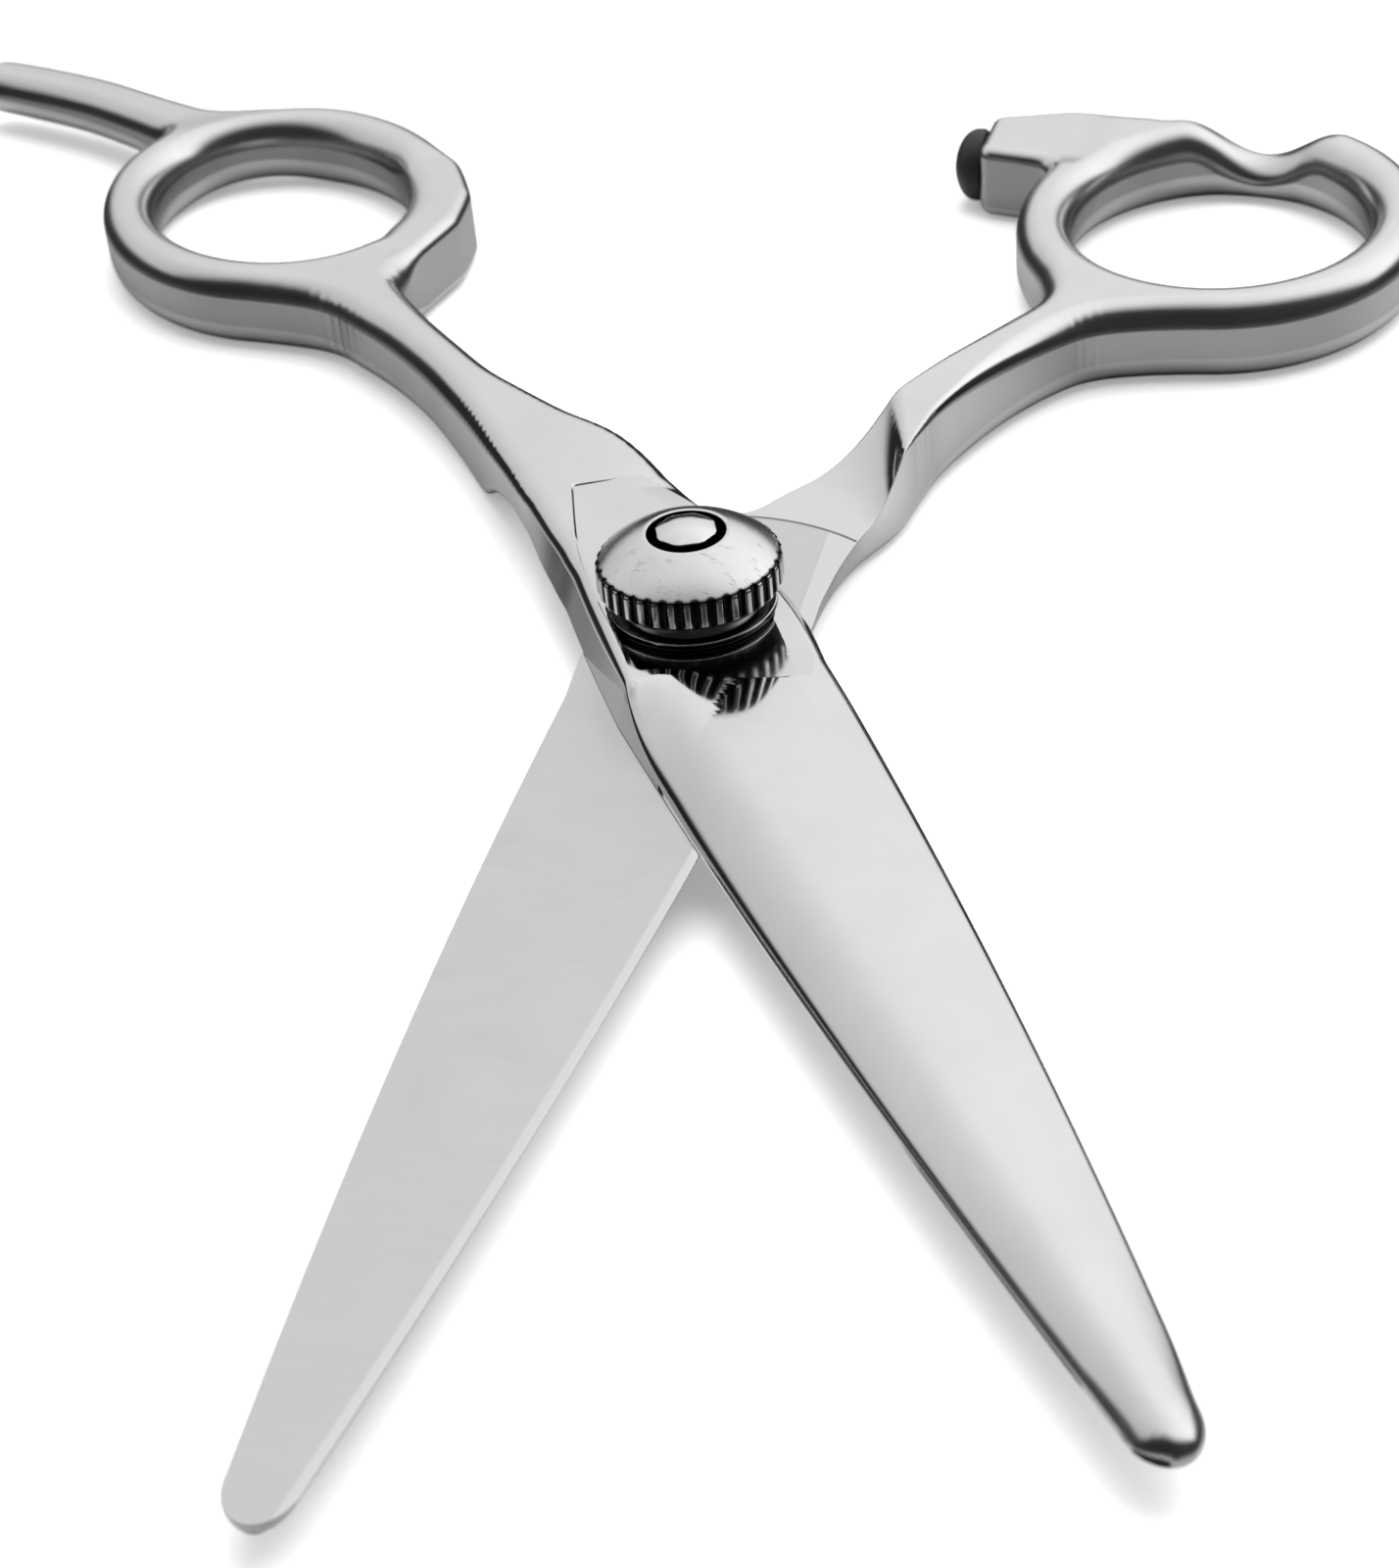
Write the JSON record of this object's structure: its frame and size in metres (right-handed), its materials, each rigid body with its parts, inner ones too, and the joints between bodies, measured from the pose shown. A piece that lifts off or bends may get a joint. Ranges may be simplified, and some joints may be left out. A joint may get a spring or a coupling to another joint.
{
  "type": "hair cutting shears",
  "caption": "Offset-handle hair cutting shears with convex blades, finger rest, rubber stop bumper and a click tension dial over a ball-race pivot.",
  "frame": {"origin": "on the pivot axis, at the face of the pivot bolt's head, which lies in the plane that the shears rest on", "axes": "+Z along the pivot axis, up through the tension dial; -Y towards the blade tips, midway between the open blades; +X towards the thumb ring"},
  "size_m": [0.1225, 0.1715, 0.0112],
  "materials": {
    "polished_steel": "mirror polished stainless steel",
    "dark_steel": "blackened steel",
    "spring_steel": "spring steel",
    "ball_steel": "ground bearing steel",
    "polymer": "low-friction acetal",
    "rubber": "matt black rubber"
  },
  "bodies": {
    "finger_body": {"finger_half": "polished_steel", "pivot_bush": "polymer"},
    "thumb_body": {"thumb_half": "polished_steel", "stop_bumper": "rubber", "pivot_bolt": "polished_steel", "ride_washer": "polymer", "bearing_cup": "polished_steel", "spring_washer": "spring_steel", "click_plate": "dark_steel", "cap_screw": "polished_steel"},
    "cage_body": {"bearing_cage": "polymer", "bearing_balls": "ball_steel"},
    "dial_body": {"tension_dial": "polished_steel", "click_balls": "ball_steel", "click_springs": "spring_steel"}
  },
  "joints": [
    {"name": "blade_pivot", "type": "hinge", "parent": "finger_body", "child": "thumb_body", "pos_m": [0, 0, 0.00315], "axis": [0, 0, 1], "range_deg": [-57, 33]},
    {"name": "cage_roll", "type": "hinge", "parent": "finger_body", "child": "cage_body", "pos_m": [0, 0, 0.00315], "axis": [0, 0, 1], "range_deg": [-28.6, 16.6]},
    {"name": "dial_turn", "type": "hinge", "parent": "thumb_body", "child": "dial_body", "pos_m": [0, 0, 0.00315], "axis": [0, 0, 1], "range_deg": [-180, 180]}
  ],
  "couplings": [
    {"joint": "cage_roll", "follows": "blade_pivot", "ratio": 0.5}
  ]
}
